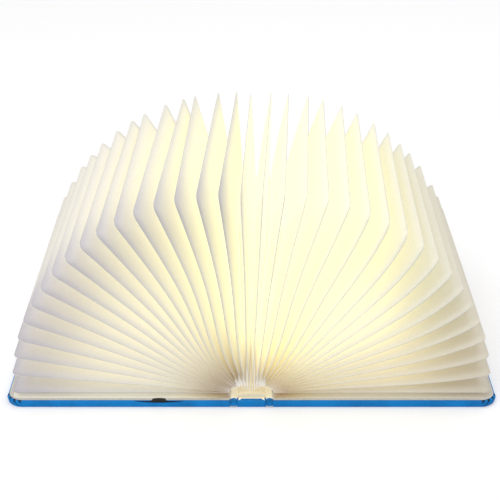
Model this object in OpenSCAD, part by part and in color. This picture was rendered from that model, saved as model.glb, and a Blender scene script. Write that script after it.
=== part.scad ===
// Folding book lamp: a cloth-covered book that opens flat on a table, with a fan of
// pleated paper pages that glow from a light bar on the spine.
// Millimetres, +Z up. The lamp is drawn opened flat: the spine runs along Y, the covers
// lie along X, and the origin is on the table under the middle of the spine.
// The pages of a side turn about one line over its cover's hinge, each by its own share of
// the cover's angle, so a closed book, a flat one and one folded right back are all alike.

/* [Cover] */
// Width of the opened cover, from fore edge to fore edge
cover_span = 356; // [320:1:400]
// Length of the cover along the spine
cover_length = 216; // [200:1:260]
// Thickness of the grey boards
board_thickness = 3.8; // [3.4:0.1:4]
// Thickness of the cover cloth
cloth_thickness = 0.5; // [0.4:0.05:0.8]
// Radius of the cover's fore-edge corners
cover_corner = 12; // [4:0.5:20]
// Width of the cloth turned in over the inner face
turn_in = 14; // [10:0.5:20]

/* [Spine and hinges] */
// Width of the spine board and of the light bar on it
spine_width = 20; // [18:0.5:26]
// Length of the spine cloth turned in over each end of the spine board
spine_turn_in = 7; // [4:0.5:12]
// Width of the groove between the spine and a cover, which holds the hinge
groove_width = 6; // [5.4:0.1:8]
// Outer radius of the rolled cloth hinge
hinge_roll_radius = 1.6; // [1.2:0.05:1.7]
// Running clearance round the hinge roll
hinge_clearance = 0.3; // [0.2:0.05:0.6]

/* [Pages] */
// Distance from the pages' turning line to their outer edge
page_reach = 160; // [130:1:160]
// Length of a page along the spine
page_length = 208; // [150:1:208]
// Thickness of a page
page_thickness = 0.25; // [0.2:0.01:0.3]
// Radius of the pages' outer corners
page_corner = 5; // [4:0.5:25]
// Margin of the cover that the glued end leaf leaves free
leaf_margin = 2; // [1:0.1:4]
// Height of the pages' turning line over their cover's hinge line
turn_rise = 4.2; // [4.2:0.1:6]
// Height of the page roots over the turning line in the closed book
root_height = 3; // [2.8:0.1:4]
// Height over the turning line at which the folds between the pages begin
fold_start = 6; // [5:0.5:12]
// Depth of the folds that join one page to the next
fold_depth = 55; // [20:1:70]
// Thickness of the sheet in the folds
fold_sheet = 0.12; // [0.1:0.01:0.16]
// Gap between a page and the fold beside it
fold_gap = 0.25; // [0.2:0.05:0.3]
// Room between the last page and the leaf glued to the cover, in the closed book
leaf_room = 0.52; // [0.45:0.01:0.6]
// Distance from the hinge line to the inner edge of that leaf
leaf_start = 4.9; // [4:0.1:8]

/* [Light bar] */
// Wall thickness of the light bar's housing
housing_wall = 1.2; // [0.8:0.1:1.6]
// Thickness of the diffuser at its middle
diffuser_thickness = 1.3; // [1:0.1:1.8]
// Thickness of the diffuser at its two edges
diffuser_edge = 0.8; // [0.5:0.1:0.9]
// Clearance between the diffuser and the pages of the closed book
root_clearance = 0.45; // [0.3:0.05:1]
// Thickness of the housing's end caps
end_cap_thickness = 1.5; // [1:0.1:3]
// Width of the aluminium strip that carries the lights
strip_width = 10; // [8:0.5:11]
// Thickness of that strip
strip_thickness = 1; // [0.6:0.1:1.4]
// Spacing of the light chips along the strip
chip_pitch = 8; // [5:0.5:20]
// Length and width of a light chip
chip_size = 3; // [2:0.1:4]
// Height of a light chip
chip_height = 0.7; // [0.4:0.1:1]
// Radius of the housing screws' shanks
screw_radius = 0.9; // [0.7:0.05:1]
// Radius of the housing screws' heads
screw_head_radius = 1.6; // [1.4:0.05:1.7]
// Height of the housing screws' heads
screw_head_height = 1; // [0.6:0.1:1.4]
// Length of the screws' shanks under the head
screw_length = 3; // [2.5:0.1:3.2]
// Spacing of the screws along the housing
screw_spacing = 60; // [40:1:80]

/* [Battery and charging] */
// Distance of the charging socket from the middle of the spine
socket_offset = 67; // [50:1:80]
// Width of the socket's black bezel
bezel_width = 12; // [10:0.5:16]
// Depth of the bezel behind the cover's edge
bezel_depth = 9; // [7.5:0.5:12]
// Height of the bezel's underside over the table
bezel_bottom = 2.2; // [1.6:0.1:2.2]
// Height of the bezel's hood over the cover
hood_rise = 1.2; // [0.4:0.1:2]
// Width of the charge board
circuit_width = 24; // [18:0.5:30]
// Length of the charge board
circuit_length = 30; // [24:0.5:36]
// Thickness of the charge board
circuit_thickness = 0.8; // [0.6:0.1:1]
// Width of the flat cell
cell_width = 32; // [20:1:33]
// Length of the flat cell
cell_length = 84; // [60:1:100]
// Thickness of the flat cell
cell_thickness = 3; // [2:0.1:3.4]
// Distance of the cell's middle from the middle of the spine
cell_offset = 112; // [110:1:130]
// Clearance round what lies in a pocket of a board
pocket_clearance = 0.4; // [0.2:0.1:0.8]
// Width of the ribbon cable
ribbon_width = 8; // [5:0.5:12]
// Thickness of the ribbon cable
ribbon_thickness = 0.25; // [0.15:0.05:0.3]

/* [Magnets] */
// Radius of the magnets that hold the covers together
magnet_radius = 5; // [3:0.5:6]
// Distance from a magnet's middle to the two nearest edges of its cover
magnet_inset = 22; // [20:1:35]
// Radius of the magnet that switches the light off in the closed book
trigger_radius = 3; // [2:0.5:4]
// Thickness of all the magnets
magnet_thickness = 2; // [1:0.1:2.3]

/* [Hidden] */
$fn = 48;
pages_per_side = 18;

// The cover's thickness is the board with cloth on both faces, and the hinge line lies
// half-way up it.
cover_thickness = board_thickness + 2 * cloth_thickness;
hinge_z = cover_thickness / 2;
spine_half = spine_width / 2 + cloth_thickness;
hinge_x = spine_half + groove_width / 2;
cover_inner = hinge_x + hinge_roll_radius + hinge_clearance;
cover_outer = cover_span / 2;
board_top = cloth_thickness + board_thickness;

// In the closed book the pages stand upright, evenly spread between the leaves glued to
// the two covers. The last page of a side turns as far as its cover.
turn_z = hinge_z + turn_rise;
last_place = pages_per_side - 0.5;
leaf_offset = hinge_x - hinge_z - page_thickness;
page_pitch = (leaf_offset - leaf_room - page_thickness / 2) / last_place;
page_step = 90 / last_place;
cut = 0.5;

// Light bar, from the spine board up to just under the pages.
bar_top = turn_z + root_height - root_clearance;
wall_top = bar_top - diffuser_thickness;
floor_top = board_top + housing_wall;
end_clearance = 0.5;
housing_length = cover_length - 2 * (spine_turn_in + end_clearance + end_cap_thickness);
strip_end_gap = 1;
strip_length = housing_length - 2 * strip_end_gap;
strip_top = floor_top + strip_thickness;
screw_x = (strip_width / 2 + spine_width / 2 - housing_wall) / 2;
screw_hole_clearance = 0.1;
snap_leg = 0.8;
snap_depth = 1.2;
snap_clearance = 0.1;

// Charging parts, at the left cover's front edge.
front = -cover_length / 2;
part_gap = 0.1;
bezel_top = cover_thickness - part_gap;
hood_back = front + 3.6;
hood_width = 11;
socket_width = 7.5;
socket_height = 1.9;
socket_depth = 5.6;
socket_wall = 0.3;
circuit_front = front + bezel_depth + part_gap;
socket_z = (bezel_bottom + bezel_top - socket_height) / 2;
circuit_z = socket_z - circuit_thickness;
component_height = 0.9;
ribbon_y = circuit_front + circuit_length / 2;
ribbon_start = socket_offset - circuit_width / 2 + 3;
ribbon_z = cover_thickness - part_gap - ribbon_thickness;
ribbon_over_roll = cover_thickness + part_gap;
ribbon_entry_z = floor_top + 0.3;
ribbon_slot = 0.3;
trigger_y = circuit_front + circuit_length / 2;

// One half of the lamp is drawn at +X, and the other is its mirror image.
module at_left() {
    mirror([1, 0, 0]) children();
}

// A rectangle from its low corner to its high corner.
module box2(low, high) {
    translate(low) square(high - low);
}

module slab(low, high) {
    translate(low) cube(high - low);
}

// Plan of a cover at +X, drawn in by a margin on its three free sides, with its two
// fore-edge corners rounded.
module cover_plan(margin) {
    half = cover_length / 2 - margin;
    outer = cover_outer - margin;
    r = cover_corner - margin;
    box2([cover_inner, -half], [outer - r, half]);
    box2([cover_inner, -half + r], [outer, half - r]);
    for (y = [-half + r, half - r]) translate([outer - r, y]) circle(r);
}

// Plan of the raised middle of a cover board, inside the turned-in cloth.
module field_plan(margin) {
    half = cover_length / 2 - turn_in - margin;
    box2([cover_inner, -half], [cover_outer - turn_in - margin, half]);
}

// Grey board of one cover, with a raised middle that fills the frame of turned-in cloth.
module cover_board_body() {
    translate([0, 0, cloth_thickness])
        linear_extrude(board_thickness) cover_plan(cloth_thickness);
    translate([0, 0, board_top - cut])
        linear_extrude(cloth_thickness + cut) field_plan(part_gap);
}

// Round pockets for the magnets near the two fore-edge corners.
module magnet_places() {
    for (y = [-1, 1] * (cover_length / 2 - magnet_inset))
        translate([cover_outer - magnet_inset, y, 0]) children();
}

module magnet_pocket(radius) {
    translate([0, 0, cloth_thickness - cut])
        cylinder(r = radius + pocket_clearance, h = board_thickness + 2 * cut);
}

// Cloth of one cover: the outer face, the three wrapped edges and the turned-in frame.
module cover_cloth_body() {
    linear_extrude(cloth_thickness) cover_plan(0);
    linear_extrude(cover_thickness) difference() {
        cover_plan(0);
        box2([cover_inner - cut, -cover_length], [cover_inner, cover_length]);
        cover_plan(cloth_thickness);
    }
    translate([0, 0, board_top]) linear_extrude(cloth_thickness) difference() {
        cover_plan(0);
        field_plan(0);
    }
}

// Outline of a page in the closed book: Y along the spine, height over the turning line.
module page_outline() {
    half = page_length / 2;
    box2([-half, root_height], [half, page_reach - page_corner]);
    box2([-half + page_corner, root_height], [half - page_corner, page_reach]);
    for (y = [-half + page_corner, half - page_corner])
        translate([y, page_reach - page_corner]) circle(page_corner);
}

// A page at +X by its place in the closed book, turned down to the opened one.
module page_body(place) {
    translate([hinge_x, 0, turn_z]) rotate([0, place * page_step, 0])
        translate([place * page_pitch - hinge_x, 0, 0]) rotate([90, 0, 90])
            linear_extrude(page_thickness, center = true) page_outline();
}

// A point of the closed book, given by its offset from the middle, its distance along
// the spine and its height over the turning line, turned by its place in the book.
function opened(offset, y, height, place) =
    let (angle = place * page_step, away = offset - hinge_x)
    [hinge_x + away * cos(angle) + height * sin(angle),
     y,
     turn_z - away * sin(angle) + height * cos(angle)];

// Points that part a straight stretch from one end to the other, without its first end.
function stretch(from, to, parts) = [for (i = [1 : parts]) from + (to - from) * i / parts];

// The three free sides of a page, drawn in by an inset, as [y, height] from the front
// root round to the back root.
function free_edge(inset, corner) =
    let (half = page_length / 2 - inset, top = page_reach - inset, turns = 4, parts = 3,
         bend = [for (i = [0 : turns]) let (a = 180 - 90 * i / turns)
                     [-half + corner + corner * cos(a), top - corner + corner * sin(a)]],
         back_bend = [for (i = [turns : -1 : 0]) [-bend[i][0], bend[i][1]]])
    concat([[-half, fold_start]],
           stretch([-half, fold_start], bend[0], parts),
           [for (i = [1 : turns]) bend[i]],
           stretch(bend[turns], back_bend[0], parts),
           [for (i = [1 : turns]) back_bend[i]],
           stretch(back_bend[turns], [half, fold_start], parts));

// A closed skin over rings of equal length, each ring one loop of points: the outside of
// a folded sheet first, then its inside backwards. Both sides of the sheet are parted
// along the same diagonals, so that they stay one thickness apart where it twists.
module skin(rings) {
    n = len(rings[0]);
    last = len(rings) - 1;
    sides = [for (i = [0 : last - 1], k = [0 : n - 1])
        let (m = (k + 1) % n, a = i * n + k, b = i * n + m, c = a + n, d = b + n)
        each (k < n / 2 ? [[a, c, b], [b, c, d]] : [[a, d, b], [a, c, d]])];
    first_cap = [for (k = [0 : n - 3]) [n - 1, k, k + 1]];
    end = last * n;
    last_cap = [for (k = [0 : n - 3]) [end + n - 1, end + k + 1, end + k]];
    polyhedron([for (ring = rings) each ring], concat(sides, first_cap, last_cap));
}

valley_corner = 4;
valley_skin = 1.5;
crest = free_edge(0, page_corner);
valley = free_edge(fold_depth, valley_corner);
valley_back = free_edge(fold_depth + valley_skin, valley_corner);
sheet_near = page_thickness / 2 + fold_gap;
sheet_far = sheet_near + fold_sheet;

// One V-shaped fold between two leaves, each given by its offset in the closed book and
// its place.
module fold_between(low, low_place, high, high_place) {
    middle = (low + high) / 2;
    middle_place = (low_place + high_place) / 2;
    skin([for (i = [0 : len(crest) - 1]) [
        opened(low + sheet_near, crest[i][0], crest[i][1], low_place),
        opened(low + sheet_far, crest[i][0], crest[i][1], low_place),
        opened(middle, valley[i][0], valley[i][1], middle_place),
        opened(high - sheet_far, crest[i][0], crest[i][1], high_place),
        opened(high - sheet_near, crest[i][0], crest[i][1], high_place),
        opened(middle, valley_back[i][0], valley_back[i][1], middle_place)]]);
}

// Half of the middle fold, from the middle plane to the first page.
module middle_fold() {
    first = 0.5;
    skin([for (i = [0 : len(crest) - 1]) [
        opened(part_gap / 2, valley[i][0], valley[i][1], 0),
        opened(first * page_pitch - sheet_far, crest[i][0], crest[i][1], first),
        opened(first * page_pitch - sheet_near, crest[i][0], crest[i][1], first),
        opened(part_gap / 2, valley_back[i][0], valley_back[i][1], 0)]]);
}

// All the folds of one side. The last one joins the last page to the leaf on the cover,
// which lies under it in the opened lamp.
module bellows_body() {
    middle_fold();
    for (i = [1 : pages_per_side - 1])
        fold_between((i - 0.5) * page_pitch, i - 0.5, (i + 0.5) * page_pitch, i + 0.5);
    leaf_under = hinge_x + turn_z - cover_thickness - page_thickness / 2;
    fold_between(last_place * page_pitch, last_place, leaf_under, last_place);
}

// Leaf glued to the inside of a cover, over the turned-in cloth.
module end_leaf_body() {
    translate([0, 0, cover_thickness]) linear_extrude(page_thickness) difference() {
        cover_plan(leaf_margin);
        box2([0, -cover_length], [hinge_x + leaf_start, cover_length]);
    }
}

// Rolled cloth hinge on the hinge line, with the tongue that joins it to the spine's side.
module hinge_roll() {
    half = cover_length / 2;
    translate([hinge_x, half, hinge_z]) rotate([90, 0, 0]) difference() {
        cylinder(r = hinge_roll_radius, h = cover_length);
        translate([0, 0, -cut])
            cylinder(r = hinge_roll_radius - cloth_thickness, h = cover_length + 2 * cut);
    }
    tongue = hinge_z - hinge_roll_radius;
    difference() {
        slab([spine_width / 2, -half, tongue], [hinge_x, half, tongue + cloth_thickness]);
        translate([hinge_x, half + cut, hinge_z]) rotate([90, 0, 0])
            cylinder(r = hinge_roll_radius - cloth_thickness / 2, h = cover_length + 2 * cut);
    }
}

module spine_board() {
    half = cover_length / 2 - cloth_thickness;
    color("tan") difference() {
        slab([-spine_width / 2, -half, cloth_thickness], [spine_width / 2, half, board_top]);
        screw_places() cylinder(r = screw_radius + screw_hole_clearance / 2,
                                h = 2 * screw_length, center = true);
    }
}

// Cloth round the spine board, in one piece with the two rolled hinges.
module spine_cloth() {
    half = cover_length / 2;
    color("dodgerblue") {
        slab([-spine_half, -half, 0], [spine_half, half, cloth_thickness]);
        for (s = [0, 1]) mirror([s, 0, 0]) {
            slab([spine_width / 2, -half, 0], [spine_half, half, board_top]);
            hinge_roll();
        }
        for (s = [0, 1]) mirror([0, s, 0]) {
            slab([-spine_half, half - cloth_thickness, 0], [spine_half, half, cover_thickness]);
            slab([-spine_half, half - spine_turn_in, board_top],
                 [spine_half, half, cover_thickness]);
        }
    }
}

module screw_places() {
    for (x = [-screw_x, screw_x], i = [-1, 0, 1])
        translate([x, i * screw_spacing, floor_top]) children();
}

// White channel that stands on the spine board and carries the lights.
module led_housing() {
    half = housing_length / 2;
    side = spine_width / 2;
    color("whitesmoke") difference() {
        slab([-side, -half, board_top], [side, half, wall_top]);
        slab([-side + housing_wall, -half - cut, floor_top],
             [side - housing_wall, half + cut, wall_top + cut]);
        screw_places() cylinder(r = screw_radius + screw_hole_clearance,
                                h = 4 * housing_wall, center = true);
        slab([-side - cut, ribbon_y - ribbon_width / 2 - ribbon_slot, floor_top],
             [0, ribbon_y + ribbon_width / 2 + ribbon_slot,
              ribbon_entry_z + ribbon_thickness + ribbon_slot]);
    }
}

// Two caps that close the ends of the channel, each with a plug inside the walls.
module housing_end_caps() {
    half = housing_length / 2;
    side = spine_width / 2;
    plug_side = side - housing_wall - snap_clearance;
    color("ivory") for (s = [0, 1]) mirror([0, s, 0]) {
        slab([-side, half, board_top], [side, half + end_cap_thickness, wall_top]);
        slab([-plug_side, half - strip_end_gap + part_gap, floor_top + part_gap],
             [plug_side, half + cut, wall_top - snap_depth - part_gap]);
    }
}

module housing_screws() {
    color("silver") screw_places() {
        cylinder(r = screw_head_radius, h = screw_head_height);
        translate([0, 0, -screw_length]) cylinder(r = screw_radius, h = screw_length + cut);
    }
}

module led_strip() {
    color("gainsboro") slab([-strip_width / 2, -strip_length / 2, floor_top],
                            [strip_width / 2, strip_length / 2, strip_top]);
}

module led_chips() {
    count = floor((strip_length - 2 * chip_size) / chip_pitch);
    color("lightyellow") for (i = [0 : count])
        translate([-chip_size / 2, (i - count / 2) * chip_pitch - chip_size / 2, strip_top])
            cube([chip_size, chip_size, chip_height]);
}

// Milky cover that snaps on the channel, arched across and reaching over the end caps.
module diffuser() {
    half = housing_length / 2 + end_cap_thickness;
    side = spine_width / 2;
    rise = diffuser_thickness - diffuser_edge;
    arch = (side * side + rise * rise) / (2 * rise);
    leg_out = side - housing_wall - snap_clearance;
    color("lemonchiffon") {
        translate([0, half, 0]) rotate([90, 0, 0]) linear_extrude(2 * half) intersection() {
            translate([0, bar_top - arch]) circle(arch, $fn = 180);
            box2([-side, wall_top], [side, bar_top]);
        }
        for (s = [0, 1]) mirror([s, 0, 0])
            slab([leg_out - snap_leg, -strip_length / 2, wall_top - snap_depth],
                 [leg_out, strip_length / 2, wall_top + diffuser_edge / 2]);
    }
}

// Flat cable from the charge board, over the left hinge and into the light bar. Its side
// view is a ribbon of even thickness along a line of points.
module ribbon_cable() {
    line = [[-ribbon_start, ribbon_z],
            [-cover_inner - 2, ribbon_z],
            [-cover_inner, ribbon_over_roll],
            [-spine_half, ribbon_over_roll],
            [-spine_width / 2 - 0.1, ribbon_entry_z],
            [-strip_width / 2 - 1.5, ribbon_entry_z],
            [-strip_width / 2 + 0.5, strip_top + part_gap],
            [-strip_width / 2 + 2, strip_top + part_gap]];
    back = [for (i = [len(line) - 1 : -1 : 0]) line[i] + [0, ribbon_thickness]];
    color("white") translate([0, ribbon_y + ribbon_width / 2, 0]) rotate([90, 0, 0])
        linear_extrude(ribbon_width) polygon(concat(line, back));
}

module left_bellows() { color("cornsilk") at_left() bellows_body(); }
module right_bellows() { color("cornsilk") bellows_body(); }

// Left cover board, with pockets for the cell, the charge board, the bezel and the ribbon.
module left_cover_board() {
    c = pocket_clearance;
    color("tan") difference() {
        at_left() cover_board_body();
        at_left() magnet_places() magnet_pocket(magnet_radius);
        slab([-cell_offset - cell_width / 2 - c, -cell_length / 2 - c, 0],
             [-cell_offset + cell_width / 2 + c, cell_length / 2 + c, 2 * cover_thickness]);
        slab([-socket_offset - circuit_width / 2 - c, circuit_front - part_gap / 2,
              circuit_z - part_gap],
             [-socket_offset + circuit_width / 2 + c, circuit_front + circuit_length + c,
              2 * cover_thickness]);
        slab([-socket_offset - bezel_width / 2 - part_gap, front - cut,
              bezel_bottom - part_gap],
             [-socket_offset + bezel_width / 2 + part_gap, circuit_front + part_gap,
              2 * cover_thickness]);
        slab([-socket_offset, ribbon_y - ribbon_width / 2 - c,
              ribbon_z - part_gap],
             [0, ribbon_y + ribbon_width / 2 + c, 2 * cover_thickness]);
    }
}

// Left cover cloth, cut out round the bezel.
module left_cover_cloth() {
    color("dodgerblue") difference() {
        at_left() cover_cloth_body();
        slab([-socket_offset - bezel_width / 2 - part_gap, front - cut,
              bezel_bottom - part_gap],
             [-socket_offset + bezel_width / 2 + part_gap, circuit_front + part_gap,
              2 * cover_thickness]);
        slab([-socket_offset - circuit_width / 2 - pocket_clearance, circuit_front,
              cloth_thickness],
             [-socket_offset + circuit_width / 2 + pocket_clearance,
              circuit_front + circuit_length, 2 * cover_thickness]);
    }
}

// Left end leaf, with a notch for the bezel's hood.
module left_end_leaf() {
    color("ivory") difference() {
        at_left() end_leaf_body();
        slab([-socket_offset - bezel_width / 2, 2 * front, 0],
             [-socket_offset + bezel_width / 2, hood_back + part_gap, 2 * cover_thickness]);
    }
}

module magnets_body() {
    magnet_places() translate([0, 0, cloth_thickness])
        cylinder(r = magnet_radius, h = magnet_thickness);
}

module left_magnets() { color("silver") at_left() magnets_body(); }

// Flat lithium cell in its pocket.
module battery() {
    color("lightsteelblue")
        slab([-cell_offset - cell_width / 2, -cell_length / 2, cloth_thickness],
             [-cell_offset + cell_width / 2, cell_length / 2, cloth_thickness + cell_thickness]);
}

// Charge board with its charger, its coil, the sensor that the trigger magnet works and
// the connector under the ribbon cable.
module charge_board() {
    top = circuit_z + circuit_thickness;
    connector_height = ribbon_z - part_gap - top;
    color("seagreen") {
        slab([-socket_offset - circuit_width / 2, circuit_front, circuit_z],
             [-socket_offset + circuit_width / 2, circuit_front + circuit_length, top]);
        for (part = [[-8, 12, 3, 3], [-8, 20, 4, 4], [0, 9, 5, 4], [-1, 24, 3, 2]])
            translate([-socket_offset + part[0], circuit_front + part[1], top])
                cube([part[2], part[3], component_height]);
        slab([-ribbon_start - 2, ribbon_y - ribbon_width / 2 - 1, top],
             [-ribbon_start + 2, ribbon_y + ribbon_width / 2 + 1, top + connector_height]);
    }
}

// Metal shell of the charging socket, open to the front.
module charge_socket() {
    color("silver") difference() {
        slab([-socket_offset - socket_width / 2, front + 1, socket_z],
             [-socket_offset + socket_width / 2, front + 1 + socket_depth,
              socket_z + socket_height]);
        slab([-socket_offset - socket_width / 2 + socket_wall, front, socket_z + socket_wall],
             [-socket_offset + socket_width / 2 - socket_wall,
              front + 1 + socket_depth - socket_wall, socket_z + socket_height - socket_wall]);
    }
}

// Black bezel at the cover's edge that holds the socket, with a low arched hood over it.
module socket_bezel() {
    arch = (hood_width * hood_width / 4 + hood_rise * hood_rise) / (2 * hood_rise);
    color("black") difference() {
        union() {
            slab([-socket_offset - bezel_width / 2, front + 0.5, bezel_bottom],
                 [-socket_offset + bezel_width / 2, front + bezel_depth, bezel_top]);
            translate([-socket_offset, hood_back, 0]) rotate([90, 0, 0])
                linear_extrude(hood_back - front - 0.5) intersection() {
                    translate([0, cover_thickness + hood_rise - arch]) circle(arch, $fn = 96);
                    box2([-hood_width / 2, bezel_bottom], [hood_width / 2, bezel_top + arch]);
                }
        }
        slab([-socket_offset - socket_width / 2 - part_gap / 2, front, socket_z - part_gap / 2],
             [-socket_offset + socket_width / 2 + part_gap / 2,
              front + 1 + socket_depth + part_gap / 2, socket_z + socket_height + part_gap / 2]);
    }
}

module right_cover_board() {
    color("tan") difference() {
        cover_board_body();
        magnet_places() magnet_pocket(magnet_radius);
        translate([socket_offset, trigger_y, 0]) magnet_pocket(trigger_radius);
    }
}

module right_cover_cloth() { color("dodgerblue") cover_cloth_body(); }
module right_end_leaf() { color("ivory") end_leaf_body(); }

// Two holding magnets and the small one opposite the sensor.
module right_magnets() {
    color("silver") {
        magnets_body();
        translate([socket_offset, trigger_y, cloth_thickness])
            cylinder(r = trigger_radius, h = magnet_thickness);
    }
}

module left_page(number) { color("ivory") at_left() page_body(number - 0.5); }
module right_page(number) { color("ivory") page_body(number - 0.5); }

spine_board();
spine_cloth();
led_housing();
housing_end_caps();
housing_screws();
led_strip();
led_chips();
diffuser();
ribbon_cable();
left_bellows();
right_bellows();
left_cover_board();
left_cover_cloth();
left_end_leaf();
left_magnets();
battery();
charge_board();
charge_socket();
socket_bezel();
right_cover_board();
right_cover_cloth();
right_end_leaf();
right_magnets();
for (i = [1 : pages_per_side])
    left_page(i);
for (i = [1 : pages_per_side])
    right_page(i);
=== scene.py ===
import math

import bpy
import numpy as np
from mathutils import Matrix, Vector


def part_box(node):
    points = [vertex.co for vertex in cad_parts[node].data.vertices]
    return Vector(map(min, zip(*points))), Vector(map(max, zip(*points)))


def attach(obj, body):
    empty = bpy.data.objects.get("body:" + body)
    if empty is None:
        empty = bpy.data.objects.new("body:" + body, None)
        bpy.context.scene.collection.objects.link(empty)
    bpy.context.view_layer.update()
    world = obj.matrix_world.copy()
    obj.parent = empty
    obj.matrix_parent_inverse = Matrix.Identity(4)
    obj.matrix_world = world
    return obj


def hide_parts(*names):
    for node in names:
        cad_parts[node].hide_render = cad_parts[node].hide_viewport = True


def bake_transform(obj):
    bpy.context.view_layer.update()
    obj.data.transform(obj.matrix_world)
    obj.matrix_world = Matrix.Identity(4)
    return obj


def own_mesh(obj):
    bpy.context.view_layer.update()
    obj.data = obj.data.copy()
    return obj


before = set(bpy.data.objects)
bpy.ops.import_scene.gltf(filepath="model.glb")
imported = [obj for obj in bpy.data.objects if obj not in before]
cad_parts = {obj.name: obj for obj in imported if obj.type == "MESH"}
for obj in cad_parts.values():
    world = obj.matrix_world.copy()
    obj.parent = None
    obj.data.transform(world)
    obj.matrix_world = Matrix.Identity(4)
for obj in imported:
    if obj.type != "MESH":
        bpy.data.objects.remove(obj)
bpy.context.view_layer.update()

# The viewpoint: a long lens in front of the opened book, looking down on it by about
# 27 degrees, square to the spine.
PICTURE_WIDTH_PX = 500
FOCAL_LENGTH_PX = 1219.2
SENSOR_WIDTH_MM = 36
CAMERA_PLACE = (-0.0011, -0.8467, 0.4986)
CAMERA_TILT = math.radians(90 - 26.676)

camera_data = bpy.data.cameras.new("camera")
camera_data.sensor_width = SENSOR_WIDTH_MM
camera_data.lens = SENSOR_WIDTH_MM * FOCAL_LENGTH_PX / PICTURE_WIDTH_PX
camera = bpy.data.objects.new("camera", camera_data)
camera.location = CAMERA_PLACE
camera.rotation_euler = (CAMERA_TILT, 0, 0)
bpy.context.scene.collection.objects.link(camera)
bpy.context.scene.camera = camera
bpy.context.scene.view_settings.view_transform = "Standard"

# The studio: a white table top that keeps the lamp's shadow, a white surround, and two
# broad soft lamps at a plain level.
TABLE_HALF = 3.0
TABLE_DROP = 0.0002
TABLE_LIFT = 0.22
ROOM_LEVEL, SEEN_LEVEL = 0.66, 1.0
LAMP_TARGET = (0, 0, 0.05)


def new_material(name):
    """An empty node material with its output, as (material, nodes, links, output)."""
    material = bpy.data.materials.new(name)
    material.use_nodes = True
    nodes, links = material.node_tree.nodes, material.node_tree.links
    nodes.clear()
    return material, nodes, links, nodes.new("ShaderNodeOutputMaterial")


def math_node(nodes, links, operation, *values):
    """The output of a math node. Each value is a socket to link or a plain number."""
    node = nodes.new("ShaderNodeMath")
    node.operation = operation
    for entry, value in zip(node.inputs, values):
        if isinstance(value, float):
            entry.default_value = value
        else:
            links.new(value, entry)
    return node.outputs[0]


def smooth_object(name, points, faces):
    """A mesh object with smooth shading over an array of points and its faces."""
    mesh = bpy.data.meshes.new(name)
    mesh.from_pydata(points.reshape(-1, 3).tolist(), [], faces)
    mesh.polygons.foreach_set("use_smooth", [True] * len(mesh.polygons))
    mesh.update()
    obj = bpy.data.objects.new(name, mesh)
    bpy.context.scene.collection.objects.link(obj)
    return obj


def grid_faces(index):
    """The faces over one or more rows x columns grids of point numbers: every four
    neighbouring points make one."""
    corners = [index[..., :-1, :-1], index[..., :-1, 1:], index[..., 1:, 1:], index[..., 1:, :-1]]
    return np.stack(corners, -1).reshape(-1, 4).tolist()


def grid_mesh(name, points, close_rows=False, close_columns=False, extra_faces=()):
    """A mesh object over a rows x columns x 3 array of points. A closed direction joins
    its last line to its first."""
    rows, columns = points.shape[:2]
    index = np.arange(rows * columns).reshape(rows, columns)
    if close_rows:
        index = np.vstack([index, index[:1]])
    if close_columns:
        index = np.hstack([index, index[:, :1]])
    return smooth_object(name, points, grid_faces(index) + list(extra_faces))


across, deep = np.meshgrid([-TABLE_HALF, TABLE_HALF], [-TABLE_HALF, TABLE_HALF])
table_top = grid_mesh("table_top", np.stack([across, deep, 0 * across - TABLE_DROP], -1))
table_white, nodes, links, output = new_material("white_table")
seen = nodes.new("ShaderNodeLightPath")
lit = nodes.new("ShaderNodeBsdfDiffuse")
lit.inputs["Color"].default_value = (0.86, 0.86, 0.87, 1)
lift = nodes.new("ShaderNodeEmission")
lift.inputs["Color"].default_value = (1, 1, 1, 1)
lift_level = math_node(nodes, links, "MULTIPLY", seen.outputs["Is Camera Ray"], TABLE_LIFT)
links.new(lift_level, lift.inputs["Strength"])
both = nodes.new("ShaderNodeAddShader")
links.new(lit.outputs[0], both.inputs[0])
links.new(lift.outputs[0], both.inputs[1])
links.new(both.outputs[0], output.inputs["Surface"])
table_top.data.materials.append(table_white)

world = bpy.data.worlds.new("surround")
bpy.context.scene.world = world
world.use_nodes = True
nodes, links = world.node_tree.nodes, world.node_tree.links
nodes.clear()
seen = nodes.new("ShaderNodeLightPath")
direct = math_node(nodes, links, "MAXIMUM",
                   seen.outputs["Is Camera Ray"], seen.outputs["Is Glossy Ray"])
shown = math_node(nodes, links, "MAXIMUM", direct, seen.outputs["Is Transmission Ray"])
level = nodes.new("ShaderNodeMapRange")
level.inputs["To Min"].default_value = ROOM_LEVEL
level.inputs["To Max"].default_value = SEEN_LEVEL
links.new(shown, level.inputs["Value"])
background = nodes.new("ShaderNodeBackground")
background.inputs["Color"].default_value = (1, 1, 1, 1)
links.new(level.outputs[0], background.inputs["Strength"])
links.new(background.outputs[0], nodes.new("ShaderNodeOutputWorld").inputs["Surface"])

for name, place, power, size in (
    ("key_lamp", (-0.9, -0.9, 1.7), 9.0, 1.2),
    ("top_lamp", (0.4, 0.3, 2.0), 9.0, 1.6),
):
    lamp_data = bpy.data.lights.new(name, "AREA")
    lamp_data.energy = power
    lamp_data.size = size
    lamp = bpy.data.objects.new(name, lamp_data)
    lamp.location = place
    aim = np.array(LAMP_TARGET) - np.array(place)
    lamp.rotation_mode = "QUATERNION"
    lamp.rotation_quaternion = Vector(aim.tolist()).to_track_quat("-Z", "Y")
    bpy.context.scene.collection.objects.link(lamp)

# The boards in the covers and the spine: grey pressed board, 3.8 mm thick, die cut and
# glued inside the cloth.


def noise(nodes, links, coordinates, scale, detail=3.0, roughness=0.55):
    """A noise texture on object coordinates, with its scale in waves per metre."""
    texture = nodes.new("ShaderNodeTexNoise")
    texture.inputs["Scale"].default_value = scale
    texture.inputs["Detail"].default_value = detail
    texture.inputs["Roughness"].default_value = roughness
    links.new(coordinates, texture.inputs["Vector"])
    return texture.outputs["Fac"]


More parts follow.
